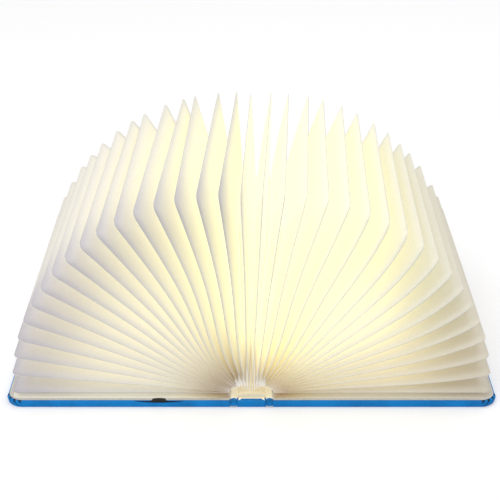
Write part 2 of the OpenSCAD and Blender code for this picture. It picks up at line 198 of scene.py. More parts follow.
def shade_between(nodes, links, factor, low, high, start=0.3, end=0.7):
    """A colour that goes from low to high as a factor goes from start to end."""
    ramp = nodes.new("ShaderNodeValToRGB")
    ramp.color_ramp.elements[0].position = start
    ramp.color_ramp.elements[0].color = (*low, 1)
    ramp.color_ramp.elements[1].position = end
    ramp.color_ramp.elements[1].color = (*high, 1)
    links.new(factor, ramp.inputs["Fac"])
    return ramp.outputs["Color"]


def bumped(nodes, links, height, distance, strength=1.0):
    """A normal raised by a height signal, over a distance in metres."""
    bump = nodes.new("ShaderNodeBump")
    bump.inputs["Distance"].default_value = distance
    bump.inputs["Strength"].default_value = strength
    links.new(height, bump.inputs["Height"])
    return bump.outputs["Normal"]


def plain_finish(name, low, high, scale, grain, roughness=0.6, metallic=0.0):
    """A moulded, pressed or rolled finish: two close shades in a noise of that scale, and
    a grain of that depth in metres."""
    material, nodes, links, output = new_material(name)
    shader = nodes.new("ShaderNodeBsdfPrincipled")
    place = nodes.new("ShaderNodeTexCoord").outputs["Object"]
    speck = noise(nodes, links, place, scale)
    links.new(shade_between(nodes, links, speck, low, high), shader.inputs["Base Color"])
    links.new(bumped(nodes, links, speck, grain), shader.inputs["Normal"])
    shader.inputs["Roughness"].default_value = roughness
    shader.inputs["Metallic"].default_value = metallic
    links.new(shader.outputs[0], output.inputs["Surface"])
    return material


def dress(node, material):
    """Gives a carried-over node its finish."""
    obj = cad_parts[node]
    obj.data.materials.clear()
    obj.data.materials.append(material)


pressed_board = plain_finish("pressed_board", (0.20, 0.18, 0.15), (0.33, 0.30, 0.26),
                             scale=900, grain=0.00008, roughness=0.85)
for node in ("left_cover_board", "right_cover_board", "spine_board"):
    dress(node, pressed_board)

# The covers: book cloth glued round the boards. It lies flat outside, is drawn round the
# three free edges and turned in by 14 mm, with its fullness pleated at the two corners.
SIDES = ((-1, "left"), (1, "right"))
COVER_INNER, COVER_OUTER = 0.0154, 0.178
COVER_HALF_LENGTH = 0.108
COVER_CORNER, INNER_CORNER = 0.012, 0.0008
CORNER_X, CORNER_Y = COVER_OUTER - COVER_CORNER, COVER_HALF_LENGTH - COVER_CORNER
COVER_THICKNESS = 0.0048
CLOTH = 0.0005
TURN_IN = 0.014
INSIDE_ROWS = 3
LINING_HALF, LINING_REACH, LINING_LOW = 0.1035, 0.0176, 0.0036
SOCKET_X, WING_REACH, WING_INSET = 0.067, 0.0175, 0.0008


def glowing_finish(name, low, high, light, strength, scale, roughness, grain=0.00002):
    """A finish that also gives off its own light, for what is lit while the lamp is on."""
    material = plain_finish(name, low, high, scale, grain, roughness)
    shader = next(n for n in material.node_tree.nodes if n.type == "BSDF_PRINCIPLED")
    shader.inputs["Emission Color"].default_value = (*light, 1)
    shader.inputs["Emission Strength"].default_value = strength
    return material


def paint(obj, name, colours):
    """Stores one linear colour per point under that name."""
    attribute = obj.data.attributes.new(name, "FLOAT_COLOR", "POINT")
    rgba = np.ones((*colours.shape[:-1], 4), np.float32)
    rgba[..., :3] = colours
    attribute.data.foreach_set("color", rgba.ravel())


def smooth_step(low, high, value):
    """0 at low and before it, 1 at high and past it, and smooth between the two. High may
    be the smaller one, and then the value falls as it grows."""
    t = np.clip((value - low) / (high - low), 0, 1)
    return t * t * (3 - 2 * t)


def end_faces(points, turned=False):
    """The faces over the first and the last row of a grid: the first in the order of its
    points and the last against it, or both the other way round."""
    rows, columns = points.shape[:2]
    first = list(range(columns))
    last = [(rows - 1) * columns + k for k in first]
    return (first[::-1], last) if turned else (first, last[::-1])


def wrap_section(rounding=0.0011, low_rounding=0.0005, flat_reach=0.03):
    """The cloth's section round a board's edge as rows of (inset from the edge, height):
    out along the outside, round the edge, in along the turn-in, and back on the inside."""
    bend = np.radians(np.linspace(0, 90, 6))
    low = np.stack([low_rounding * (1 - np.sin(bend)), low_rounding * (1 - np.cos(bend))], 1)
    over = COVER_THICKNESS - rounding * (1 - np.sin(bend))
    high = np.stack([rounding * (1 - np.cos(bend)), over], 1)
    side = np.linspace(low_rounding, COVER_THICKNESS - rounding, 10)[1:-1]
    rise = np.stack([np.zeros(len(side)), side], 1)
    outside = [(flat_reach, 0), (0.014, 0), (0.008, 0), (0.004, 0), (0.002, 0)]
    turned = [(0.002, COVER_THICKNESS), (0.004, COVER_THICKNESS), (0.008, COVER_THICKNESS),
              (TURN_IN - 0.0002, COVER_THICKNESS), (TURN_IN, COVER_THICKNESS - 0.0002),
              (TURN_IN, COVER_THICKNESS - CLOTH)]
    inside = [(CLOTH, COVER_THICKNESS - CLOTH), (CLOTH, CLOTH), (flat_reach, CLOTH)]
    return np.vstack([outside, low, rise, high, turned, inside])


def plan_loop(inset, x0, x1, half, corner_inner, corner_outer, steps=20, side_steps=64):
    """A loop round a rectangle with rounded corners, drawn in by an inset per row. Each
    corner keeps its own centre until its radius is used up, and then moves in."""
    loops = []
    for cx, cy, start, radius in ((1, -1, -90, corner_outer), (1, 1, 0, corner_outer),
                                  (-1, 1, 90, corner_inner), (-1, -1, 180, corner_inner)):
        turn = np.radians(np.linspace(start, start + 90, steps))
        rest = np.maximum(radius - inset, 0.0004)[:, None]
        away = inset[:, None] + rest
        edge_x = x1 if cx > 0 else x0
        x = edge_x - cx * away + rest * np.cos(turn)
        y = cy * (half - away) + rest * np.sin(turn)
        loops.append(np.stack([x, y], -1))
    parts = []
    for k, loop in enumerate(loops):
        parts.append(loop)
        first, last = loop[:, -1:], loops[(k + 1) % 4][:, :1]
        share = np.linspace(0, 1, side_steps + 2)[1:-1][None, :, None]
        parts.append(first + (last - first) * share)
    return np.concatenate(parts, 1)


def corner_laps(x, y, height, laps=4, lean=60, sharp=0.0012, proud=0.0008):
    """The laps of the cloth round a corner, as (how far they draw it in, how much painted
    shade lies in the crease under each). Each lap's depth climbs slowly to its crest and
    falls at once behind it, and the laps lean. Where a lap stands proud, the draw is below
    zero."""
    turn = np.arctan2(np.abs(y) - CORNER_Y, np.abs(x) - CORNER_X)
    inside = (np.abs(x) > CORNER_X - 0.002) & (np.abs(y) > CORNER_Y - 0.002)
    leaning = turn / (np.pi / 2) + lean * (height - COVER_THICKNESS)
    tooth = np.mod(leaning * laps + 0.15, 1.0)
    climb, fall = 0.8, 0.2
    depth = sharp * np.where(tooth < climb, tooth / climb, (1 - tooth) / fall)
    rise = np.clip((height - 0.0008) / 0.0016, 0, 1)
    window = np.clip(np.sin(np.clip(turn, 0, np.pi / 2) * 2) * 3, 0, 1)
    fold = np.exp(-((tooth - 0.76) / 0.34) ** 4) * np.clip((height - 0.0004) / 0.0034, 0, 1)
    draw = (depth - proud) * rise * window
    return np.where(inside, draw, 0), np.where(inside, fold * window, 0)


def socket_wings(x, y, inset, height):
    """The dark shade under the cloth's lip to both sides of the socket. At the front edge
    it begins lower near the socket, by 1 - u^2 with u the distance over WING_REACH."""
    wing = np.clip(1 - ((x - SOCKET_X) / WING_REACH) ** 2, 0, 1)
    lip = (y < 0) & (inset < WING_INSET)
    shade = smooth_step(0.0046 - 0.0011 * wing, 0.0048 - 0.0008 * wing, height)
    return lip * shade * (wing > 0)


def point_colour(nodes, name):
    """The node that reads the colour stored per point under that name."""
    node = nodes.new("ShaderNodeAttribute")
    node.attribute_name = name
    return node


def cloth_finish(name, dark, bright):
    """Book cloth: a fine weave of two threads on object coordinates, a little variation in
    the dye, and painted shade, near black, where the shade colour of its points says so."""
    material, nodes, links, output = new_material(name)
    shader = nodes.new("ShaderNodeBsdfPrincipled")
    place = nodes.new("ShaderNodeTexCoord").outputs["Object"]
    threads = []
    for turn in ((0, 0, 0), (0, math.radians(38), math.radians(90))):
        mapping = nodes.new("ShaderNodeMapping")
        mapping.inputs["Rotation"].default_value = turn
        links.new(place, mapping.inputs["Vector"])
        wave = nodes.new("ShaderNodeTexWave")
        wave.inputs["Scale"].default_value = 700
        wave.inputs["Distortion"].default_value = 1.5
        wave.inputs["Detail"].default_value = 2
        wave.inputs["Detail Scale"].default_value = 0.4
        links.new(mapping.outputs[0], wave.inputs["Vector"])
        threads.append(wave.outputs["Fac"])
    weave = math_node(nodes, links, "MULTIPLY", *threads)
    dye = noise(nodes, links, place, scale=60)
    mixed = math_node(nodes, links, "MULTIPLY_ADD", weave, 0.35, dye)
    # Painted shade: the creases under the corner laps and the cloth under the lip beside the socket
    # go near black.
    folded = nodes.new("ShaderNodeMix")
    folded.data_type = "RGBA"
    folded.inputs["B"].default_value = (0.0, 0.008, 0.02, 1)
    links.new(point_colour(nodes, "fold").outputs["Fac"], folded.inputs["Factor"])
    links.new(shade_between(nodes, links, mixed, dark, bright, end=0.9), folded.inputs["A"])
    links.new(folded.outputs["Result"], shader.inputs["Base Color"])
    thread_normal = bumped(nodes, links, weave, distance=0.00006, strength=0.6)
    links.new(thread_normal, shader.inputs["Normal"])
    shader.inputs["Roughness"].default_value = 0.5
    shader.inputs["Specular IOR Level"].default_value = 0.2
    links.new(shader.outputs[0], output.inputs["Surface"])
    return material


def line_inside(obj, low):
    """Lines the faces over that height near the spine with paper, short of head and tail."""
    obj.data.materials.append(lit_joint_lining)
    for face in obj.data.polygons:
        x, y, z = face.center
        if z > low and abs(x) < LINING_REACH and abs(y) < LINING_HALF:
            face.material_index = 1


blue_cloth = cloth_finish("blue_book_cloth", (0.001, 0.16, 0.48), (0.003, 0.27, 0.74))
# The lining paper gives off a little light of its own: painted light from the light bar beside it.
lit_joint_lining = glowing_finish("lit_joint_lining", (0.80, 0.75, 0.63), (0.88, 0.83, 0.71),
                              light=(1.0, 0.93, 0.66), strength=0.28, scale=450, roughness=0.75)
section = wrap_section()
inset, height = section[:, 0], section[:, 1]
for side, word in SIDES:
    plan = plan_loop(inset, COVER_INNER, COVER_OUTER, COVER_HALF_LENGTH,
                     INNER_CORNER, COVER_CORNER, steps=64)
    x, y = plan[..., 0], plan[..., 1]
    tall = np.broadcast_to(height[:, None], plan.shape[:2])
    outer = np.arange(len(section)) < len(section) - INSIDE_ROWS
    # Painted shade in the creases under the corner laps and, on the left cover, under the lip
    # beside the socket.
    draw, fold = (part * outer[:, None] for part in corner_laps(x, y, tall))
    if side < 0:
        fold = np.maximum(fold, socket_wings(x, y, inset[:, None], tall))
    outward = np.stack([x - CORNER_X, y - np.sign(y) * CORNER_Y], -1)
    outward /= np.maximum(np.linalg.norm(outward, axis=-1, keepdims=True), 1e-6)
    drawn = plan - outward * draw[..., None]
    points = np.stack([drawn[..., 0], drawn[..., 1], tall], -1)
    if side < 0:
        points, fold = (points * np.array([-1, 1, 1]))[:, ::-1], fold[:, ::-1]
    cover = grid_mesh(f"{word}_cover_wrap", points, close_columns=True,
                      extra_faces=end_faces(points, turned=True))
    cover.data.materials.append(blue_cloth)
    line_inside(cover, LINING_LOW)
    paint(cover, "fold", np.repeat(fold[..., None], 3, axis=-1))
    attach(cover, f"{word}_cover")
    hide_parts(f"{word}_cover_cloth")

# The spine: its own board wrapped in the same cloth, turned in at head and tail in front
# of the light bar's end caps.
SPINE_HALF, SPINE_TURN_IN = 0.0105, 0.0070
plan = plan_loop(np.minimum(inset, SPINE_TURN_IN), -SPINE_HALF, SPINE_HALF, COVER_HALF_LENGTH,
                 INNER_CORNER, INNER_CORNER, steps=6, side_steps=40)
tall = np.broadcast_to(height[:, None], plan.shape[:2])
points = np.stack([plan[..., 0], plan[..., 1], tall], -1)
spine_wrap = grid_mesh("spine_wrap", points, close_columns=True,
                       extra_faces=end_faces(points, turned=True))
spine_wrap.data.materials.append(blue_cloth)
line_inside(spine_wrap, LINING_LOW)
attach(spine_wrap, "spine")
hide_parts("spine_cloth")

# The joints: the cloth that runs loose from the spine to each cover, doubled by its
# turn-in, so that it rolls round the hinge line when a cover is lifted.
HINGE_Z = 0.0024
ROLL_START, ROLL_END, ROLL_LINING_LOW = 0.0103, 0.0157, 0.0016
ARCH_RISE, ARCH_DIP = 0.0024, 0.0015
CREASE_RISE, CREASE_SWAY = 0.0006, 0.0002
BULGE_RISE, BULGE_FADE = 0.0012, 0.0015


def rolled_joint(rows=150, columns=28):
    """The joint's cloth as a closed loop carried along the spine. The top side arches up
    between spine and cover and the under side dips. Slow waves crease the top side, which
    bulges at both ends, past the paper lining."""
    along = np.linspace(-COVER_HALF_LENGTH, COVER_HALF_LENGTH, rows)[:, None]
    turn = np.linspace(0, 2 * np.pi, columns, endpoint=False)[None, :]
    over = np.sin(turn)
    across = (ROLL_START + ROLL_END) / 2 - (ROLL_END - ROLL_START) / 2 * np.cos(turn)
    crease = (np.sin(along * 900 + 3 * np.cos(turn)) * 0.12 + np.sin(along * 310 + turn * 2) * 0.18)
    z = HINGE_Z + np.sign(over) * np.abs(over) ** 0.6 * np.where(over > 0, ARCH_RISE, ARCH_DIP)
    bulge = BULGE_RISE * smooth_step(LINING_HALF, LINING_HALF + BULGE_FADE, np.abs(along))
    z = z + (crease * CREASE_RISE + bulge) * np.clip(over, 0, 1)
    x = across + CREASE_SWAY * np.sin(along * 700 + 5 * turn) * np.clip(over, 0, 1)
    return np.stack([x + 0 * along, along + 0 * turn, z + 0 * along], -1)


for side, word in SIDES:
    points = rolled_joint()
    if side < 0:
        points = (points * np.array([-1, 1, 1]))[:, ::-1]
    joint = grid_mesh(f"{word}_joint_cloth", points, close_columns=True,
                      extra_faces=end_faces(points))
    joint.data.materials.append(blue_cloth)
    line_inside(joint, ROLL_LINING_LOW)
    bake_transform(joint)
    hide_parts("spine_cloth")

# The light bar on the spine: a white moulded channel with a bowed diffuser snapped into
# it, two end caps, six screws and a strip of lamps on a metal-backed board.
white_plastic = plain_finish("white_moulding", (0.80, 0.79, 0.75), (0.86, 0.85, 0.81),
                             scale=400, grain=0.00002, roughness=0.4)
bare_steel = plain_finish("bright_steel", (0.45, 0.45, 0.46), (0.62, 0.62, 0.63),
                          scale=1500, grain=0.00001, roughness=0.3, metallic=1.0)
strip_metal = plain_finish("strip_board", (0.70, 0.71, 0.70), (0.82, 0.83, 0.82),
                           scale=600, grain=0.00001, roughness=0.45)
phosphor = glowing_finish("lamp_chip", (0.80, 0.62, 0.20), (0.90, 0.74, 0.30),
                          light=(1.0, 0.82, 0.48), strength=1.2, scale=2000, roughness=0.3)
milky = glowing_finish("milky_diffuser", (0.76, 0.69, 0.50), (0.82, 0.75, 0.57),
                       light=(1.0, 0.88, 0.60), strength=0.15, scale=300, roughness=0.45)
lit_cap = glowing_finish("lit_end_cap", (0.80, 0.70, 0.48), (0.88, 0.80, 0.58),
                         light=(1.0, 0.85, 0.50), strength=0.15, scale=500, roughness=0.45)
dress("led_housing", white_plastic)
dress("housing_screws", bare_steel)
dress("led_strip", strip_metal)
dress("led_chips", phosphor)
dress("diffuser", milky)

CAP_HALF, CAP_TOP, CAP_FOOT = 0.0100, 0.0089, 0.0048
CAP_BACK, CAP_FRONT = 0.0992, 0.1032


def end_cap(columns=40, bow=0.0012, edge=0.0006, skirt=0.0008, chamfer=0.0005):
    """The cap's outline across the spine, bowed on top and rounded at its upper edge, as
    rows from the foot up the front, over the top and down the back."""
    x = CAP_HALF * np.sin(np.linspace(-np.pi / 2, np.pi / 2, columns))[None, :]
    foot = CAP_FOOT + 0 * x
    top = CAP_TOP - bow * (x / CAP_HALF) ** 4
    bend = np.radians(np.linspace(0, 90, 7))[:, None]
    front = CAP_FRONT - edge * (1 - np.cos(bend))
    z = np.concatenate([foot, CAP_FOOT + skirt + 0 * x, top - edge * (1 - np.sin(bend)),
                        top, top - chamfer, foot])
    y = np.concatenate([[[CAP_FRONT], [CAP_FRONT]], front,
                        [[CAP_BACK + chamfer], [CAP_BACK], [CAP_BACK]]])
    return np.stack(np.broadcast_arrays(x, y, z), -1)


for name, way in (("front_cap", -1), ("rear_cap", 1)):
    points = end_cap() * np.array([-way, way, 1])
    rows, columns = points.shape[:2]
    ends = [[row * columns + edge for row in range(rows)] for edge in (0, columns - 1)]
    cap = grid_mesh(name, points, close_rows=True, extra_faces=(ends[0], ends[1][::-1]))
    cap.data.materials.append(lit_cap)
    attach(cap, "spine")
    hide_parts("housing_end_caps")

# The pages: thirty-six leaves of strong fibrous paper, rooted over the light bar. Each
# turns with its cover by its own share of the angle, about a line over the cover's hinge.
HINGE_X = 0.0135
PAGES_PER_SIDE = 18
LAST_PLACE = PAGES_PER_SIDE - 0.5
PAGE_THICKNESS = 0.00025
PAGE_REACH, PAGE_HALF, PAGE_CORNER = 0.160, 0.104, 0.005
PAGE_ROOT = 0.003
TURN_Z = HINGE_Z + 0.0042
LEAF_ROOM = 0.00052
PAGE_PITCH = (HINGE_X - HINGE_Z - 1.5 * PAGE_THICKNESS - LEAF_ROOM) / LAST_PLACE
PAGE_STEP = math.radians(90) / LAST_PLACE
# How far each page's rear end hangs back, in places of the fan, fitted page by page from
# the middle outwards.
LEFT_LAG = (0.48, 0.70, 0.70, 0.40, 0.75, 0.70, 0.40, 0.60, 0.55,
            0.40, 0.45, 0.55, 0.40, 0.35, 0.25, 0.15, 0.05, 0.00)
RIGHT_LAG = (0.60, 0.55, 0.65, 0.50, 0.60, 0.55, 0.65, 0.65, 0.60,
             0.40, 0.40, 0.80, 0.60, 0.45, 0.30, 0.15, 0.05, 0.00)
# How far each page's lower half hangs out of its plane, in metres, set page by page in
# the same order.
LEFT_DROOP = (0.0015, 0.0030, 0.0041, 0.0058, 0.0070, 0.0068, 0.0059, 0.0055, 0.0045,
              0.0038, 0.0036, 0.0036, 0.0032, 0.0022, 0.0014, 0.0007, 0.0002, 0.0000)
RIGHT_DROOP = (0.0000, 0.0011, 0.0022, 0.0036, 0.0040, 0.0040, 0.0034, 0.0029, 0.0022,
               0.0019, 0.0014, 0.0006, 0.0003, 0.0001, 0.0000, 0.0000, 0.0000, 0.0000)
DROOP_HEIGHT = 0.038
RIGHT_BOW = 0.95
# The leaves are painted grey as shade, for their edges and the dark gaps between the pleats, and
# paler near their roots over the light bar with painted light from the bar.
LEAF_SHADE_GREY = np.array([0.60, 0.58, 0.57])
ROOT_LIT_WHITE = np.array([1.0, 0.98, 0.90])
ROOT_LIT_TINT, ROOT_LIGHT = 0.28, 0.34
ROOT_LIT_UP_TO, ROOT_SHADE_FROM = 0.0085, 0.0125


def thicken(obj, thickness, offset):
    """Gives a sheet its thickness."""
    sheet = obj.modifiers.new("sheet", "SOLIDIFY")
    sheet.thickness = thickness
    sheet.offset = offset


def hung(place, along, height):
    """The place in the fan at which a point of a page hangs. To the page's own place come
    its lag towards the rear, a bow on the right that fades with the fourth power of the
    height, and the droop of its lower half: out of the plane by d u exp((1 - u^2) / 2),
    with u = height / DROOP_HEIGHT, which peaks at d there. No point hangs past the last
    place, so that the outer pages stay clear of the covers."""
    rear = np.clip((along + PAGE_HALF) / (2 * PAGE_HALF), 0, 1)
    places = np.arange(-LAST_PLACE, LAST_PLACE + 1)
    lag = np.interp(place, places, LEFT_LAG[::-1] + RIGHT_LAG)
    bow = RIGHT_BOW * smooth_step(3, 8, place) * (1 - 0.7 * smooth_step(11, 18, place))
    signed = tuple(-droop for droop in LEFT_DROOP[::-1]) + RIGHT_DROOP
    turned = np.interp(place, places, signed) / DROOP_HEIGHT / PAGE_STEP
    hanging = (place + lag * rear + bow * (1 - np.clip(height / PAGE_REACH, 0, 1) ** 4)
               + turned * np.exp((1 - (height / DROOP_HEIGHT) ** 2) / 2))
    return np.clip(hanging, -LAST_PLACE, LAST_PLACE)


def fanned(place, out, along, height):
    """Where a point of the closed book lies when the book is opened flat. The point stands
    at a place in the book, a little out of that place's plane, and the plane has turned
    about its side's turning line by the place's share of a right angle."""
    side = np.where(place < 0, -1, 1)
    turn = np.abs(place) * PAGE_STEP
    away = HINGE_X - PAGE_PITCH * np.abs(place) - side * out
    x = HINGE_X - away * np.cos(turn) + height * np.sin(turn)
    z = TURN_Z + away * np.sin(turn) + height * np.cos(turn)
    return np.stack(np.broadcast_arrays(side * x, along, z), -1)


def follow_place(obj):
    """Bakes the piece's placement into its points."""
    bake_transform(obj)


def paper_finish(name, fibre_depth):
    """Fibrous paper: cloudy fibres on object coordinates over a colour per point, which holds
    painted light and shade, and the cream-yellow light that comes through the sheet, by a
    level per point."""
    material, nodes, links, output = new_material(name)
    shader = nodes.new("ShaderNodeBsdfPrincipled")
    place = nodes.new("ShaderNodeTexCoord").outputs["Object"]
    cloud = noise(nodes, links, place, scale=450, detail=4, roughness=0.6)
    fine = noise(nodes, links, place, scale=2600, detail=2)
    fibres = nodes.new("ShaderNodeMix")
    fibres.data_type = "RGBA"
    fibres.blend_type = "MULTIPLY"
    fibres.inputs["Factor"].default_value = 1.0
    links.new(point_colour(nodes, "lit_and_shaded_tint").outputs["Color"], fibres.inputs["A"])
    shades = shade_between(nodes, links, cloud, (0.965, 0.965, 0.97), (1, 1, 1), 0.35, 0.6)
    links.new(shades, fibres.inputs["B"])
    links.new(fibres.outputs["Result"], shader.inputs["Base Color"])
    light = point_colour(nodes, "light").outputs["Color"]
    links.new(light, shader.inputs["Emission Color"])
    shader.inputs["Emission Strength"].default_value = 1.0
    relief = math_node(nodes, links, "MULTIPLY_ADD", fine, 0.35, cloud)
    fibre_normal = bumped(nodes, links, relief, fibre_depth, strength=0.5)
    links.new(fibre_normal, shader.inputs["Normal"])
    shader.inputs["Roughness"].default_value = 0.7
    shader.inputs["Specular IOR Level"].default_value = 0.25
    links.new(shader.outputs[0], output.inputs["Surface"])
    return material


def leaf_points(rows=18, corner_rows=8, columns=40):
    """A leaf as (along, height). The upper rows lie closer together, and in the two round
    corners the width of each row shrinks."""
    climb = np.concatenate([np.linspace(0, 0.93, rows), np.linspace(0.94, 1, corner_rows)])
    height = PAGE_ROOT + (PAGE_REACH - PAGE_ROOT) * climb[:, None]
    into = np.clip(height - (PAGE_REACH - PAGE_CORNER), 0, PAGE_CORNER)
    half = PAGE_HALF - PAGE_CORNER + np.sqrt(np.maximum(PAGE_CORNER ** 2 - into ** 2, 0))
    along = half * np.linspace(-1, 1, columns)[None, :]
    return along, height + 0 * along


page_paper = paper_finish("page_paper", 0.00003)
along, height = leaf_points()
lit_root = smooth_step(ROOT_SHADE_FROM, ROOT_LIT_UP_TO, height)[..., None]
for side, word in SIDES:
    for number in range(1, PAGES_PER_SIDE + 1):
        place = hung(side * (number - 0.5), along, height)
        leaf = grid_mesh(f"{word}_leaf_{number}", fanned(place, 0, along, height))
        # Painted shade grey over each leaf, paler with painted light near the bar.
        paint(leaf, "lit_and_shaded_tint", LEAF_SHADE_GREY + ROOT_LIT_TINT * ROOT_LIT_WHITE * lit_root)
        paint(leaf, "light", ROOT_LIT_WHITE * ROOT_LIGHT * lit_root)
        leaf.data.materials.append(page_paper)
        thicken(leaf, PAGE_THICKNESS, 0)
        follow_place(leaf)
        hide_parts(f"{word}_page_{number}")

# The folds: one pleat of the same paper from each page to the next, glued along the free
# edges and folded inwards, which carries the light and holds the fan open.
FOLD_DEPTH = 0.055
FOLD_START, BAR_RISE = 0.0034, 0.0060
VALLEY_CORNER = 0.004
FOLD_SHEET = 0.00012
GLUE_OFFSET = 0.00022
PLEAT_STEPS, FINE_STEPS = 14, 240
# The paper's own colour with a cream of painted lamp light in it, and the colour of the
# light through it, each from cool to warm.
WHITE_PAPER, WARM_LIT_PAPER = np.array([0.86, 0.83, 0.76]), np.array([0.87, 0.85, 0.72])
PALE_LIGHT, HONEY_LIGHT = np.array([1.0, 0.95, 0.74]), np.array([1.0, 0.97, 0.67])
# How much of red, green and blue each kind of shade takes away.
DULL_SHADE = np.array([0.24, 0.25, 0.12])
DUSK_SHADE = np.array([0.05, 0.10, 0.15])
HUB_SHADE, LEFT_HUB_SHADE = np.array([0.04, 0.12, 0.34]), np.array([0.20, 0.24, 0.14])
CORE_SHADE = np.array([0.22, 0.30, 0.31])


def free_edge(first, inset, counts=(22, 10, 36)):
    """The line round a page's three free sides, drawn in by an inset per column: up the
    front, round the corner, back along the top, and down again, as (along, height). Over
    the light bar the line starts higher, so that the pages' roots stand free there."""
    start = FOLD_START + BAR_RISE * (1 - smooth_step(3.5, 6, abs(first + 0.5)))
    corner = PAGE_CORNER + (VALLEY_CORNER - PAGE_CORNER) * inset / FOLD_DEPTH
    half, top = PAGE_HALF - inset, PAGE_REACH - inset
    rise = np.linspace(0, 1, counts[0] + 1)[:-1, None]
    turn = np.radians(np.linspace(0, 90, counts[1] + 1))[:-1, None]
    back = np.linspace(0, 0.5, counts[2] // 2 + 1)[:, None]
    along = np.concatenate([-half + 0 * rise, -half + corner * (1 - np.cos(turn)),
                            (-half + corner) * (1 - 2 * back)])
    height = np.concatenate([start + (top - corner - start) * rise,
                             top - corner * (1 - np.sin(turn)), top + 0 * back])
    return np.concatenate([along, -along[-2::-1]]), np.concatenate([height, height[-2::-1]])


def pleat_inset(share):
    """How far a pleat lies inside the free edge, by the share of the way from one page to
    the next: steep at both pages, and rounded at the bottom of the fold."""
    return FOLD_DEPTH * (1 - np.abs(1 - 2 * share) ** 1.1)


def between_pages(first, share):
    """A pleat from the page at that first place to the next one, for an array of shares,
    as (place, out, along, height, share) arrays of rows x columns. Its two edges stand off
    the pages by the glue."""
    along, height = free_edge(first, pleat_inset(share))
    near = hung(first, along, height)
    place = near + share * (hung(first + 1, along, height) - near)
    return place, GLUE_OFFSET * (1 - 2 * share) + 0 * along, along, height, share + 0 * along


def middle_pleat(left):
    """The middle pleat's part at one side of the middle plane: for each row, the share at
    which the pleat crosses that plane is found on a fine row of shares."""
    fine = np.linspace(0, 1, FINE_STEPS + 1)
    place = between_pages(-0.5, fine)[0]
    cross = fine[np.argmax(place >= 0, axis=1)][:, None]
    share = np.linspace(0, 1, PLEAT_STEPS + 1)[None, :]
    share = cross * share if left else cross + (1 - cross) * share
    pick = np.round(share * FINE_STEPS).astype(int)
    rows = np.arange(len(pick))[:, None]
    return [part[rows, pick] for part in between_pages(-0.5, fine)]


def last_pleat(side):
    """The last pleat, from the last page down to the leaf glued on the cover: out of the
    page's plane by the share of the drop, while its place comes to rest at the last one."""
    share = np.linspace(0, 1, PLEAT_STEPS + 1)
    along, height = free_edge(side * LAST_PLACE, pleat_inset(share))
    own = hung(side * LAST_PLACE, along, height)
    place = own + share * (side * LAST_PLACE - own)
    drop = TURN_Z + HINGE_X - PAGE_PITCH * LAST_PLACE - COVER_THICKNESS - PAGE_THICKNESS
    out = side * (GLUE_OFFSET + (drop - 1.5 * GLUE_OFFSET) * share)
    return place, out + 0 * along, along, height, share + 0 * along


def paper_light(place, along, height, share):
    """Colour and inner light of the folded paper, from where a point lies: how near the
    middle of the fan, how far from the light bar, how deep in its pleat, and on which half
    of the pleat. The colour holds painted light and shade: a warmer cream, painted light,
    in the middle and on the right; painted shade on the half that starts at the outer
    page, most at the corners of the left pages, where the light is also lower; a dim
    painted shade on the outer right pages; and round the light bar painted brown shade,
    darkest right at the bar, with more of it on the left beside the bar."""
    fan = np.abs(place) / LAST_PLACE
    reach = np.clip((height - PAGE_ROOT) / (PAGE_REACH - PAGE_ROOT), 0, 1)
    deep = pleat_inset(share) / FOLD_DEPTH
    middle = np.exp(-(fan / 0.5) ** 2)
    left = smooth_step(0.5, -0.5, place)
    outer = smooth_step(0.15, 0.65, fan)
    inner = 0.5 + (share - 0.5) * (2 * left - 1) * smooth_step(0, 1, np.abs(place))
    corner = np.exp(-((along + PAGE_HALF) ** 2 + (height - PAGE_REACH) ** 2) / 0.045 ** 2)
    dull_shading = (1 - inner) ** 2 * (0.42 * left + 0.16 + 0.75 * corner * left)
    dusk_shading = (1 - left) * smooth_step(0.55, 1, fan)
    hub_shading = np.exp(-(reach / 0.19) ** 2) * smooth_step(2, 7, np.abs(place))
    core_shading = np.exp(-(reach / 0.10) ** 2)[..., None] * CORE_SHADE
    gutter_shading = 0.14 * np.exp(-(reach / 0.15) ** 2) * left * smooth_step(2, 6, np.abs(place))
    shade = (1 - core_shading) * (1 - gutter_shading[..., None])
    glow_warmth = np.clip(0.35 + 0.65 * middle + 0.25 * (1 - left), 0, 1)[..., None]
    lit_and_shaded_tint = WHITE_PAPER + (WARM_LIT_PAPER - WHITE_PAPER) * glow_warmth
    lit_and_shaded_tint = lit_and_shaded_tint * (1 - dull_shading[..., None] * DULL_SHADE) * (1 - hub_shading[..., None] * HUB_SHADE)
    lit_and_shaded_tint = lit_and_shaded_tint * (1 - dusk_shading[..., None] * DUSK_SHADE) * shade
    edge = outer * left + (1 - left) * smooth_step(0.16, 0.72, fan)
    edge = edge * smooth_step(0.5, 1, reach)
    glow = (0.25 + 0.10 * middle + 0.11 * outer) * (1 - edge * (0.80 - 0.60 * left))
    glow = glow * (0.85 + 0.3 * deep) * (0.85 + 0.3 * inner)
    glow = glow * (1 - 0.45 * smooth_step(LAST_PLACE - 0.9, LAST_PLACE, np.abs(place)))
    glow = glow * (1 - 0.6 * dull_shading) * (1 - 0.25 * dusk_shading)
    light = glow[..., None] * (PALE_LIGHT + (HONEY_LIGHT - PALE_LIGHT) * glow_warmth)
    hub_shade = HUB_SHADE + LEFT_HUB_SHADE * left[..., None]
    return lit_and_shaded_tint, light * shade * (1 - hub_shading[..., None] * hub_shade)


fold_paper = paper_finish("fold_paper", 0.00004)


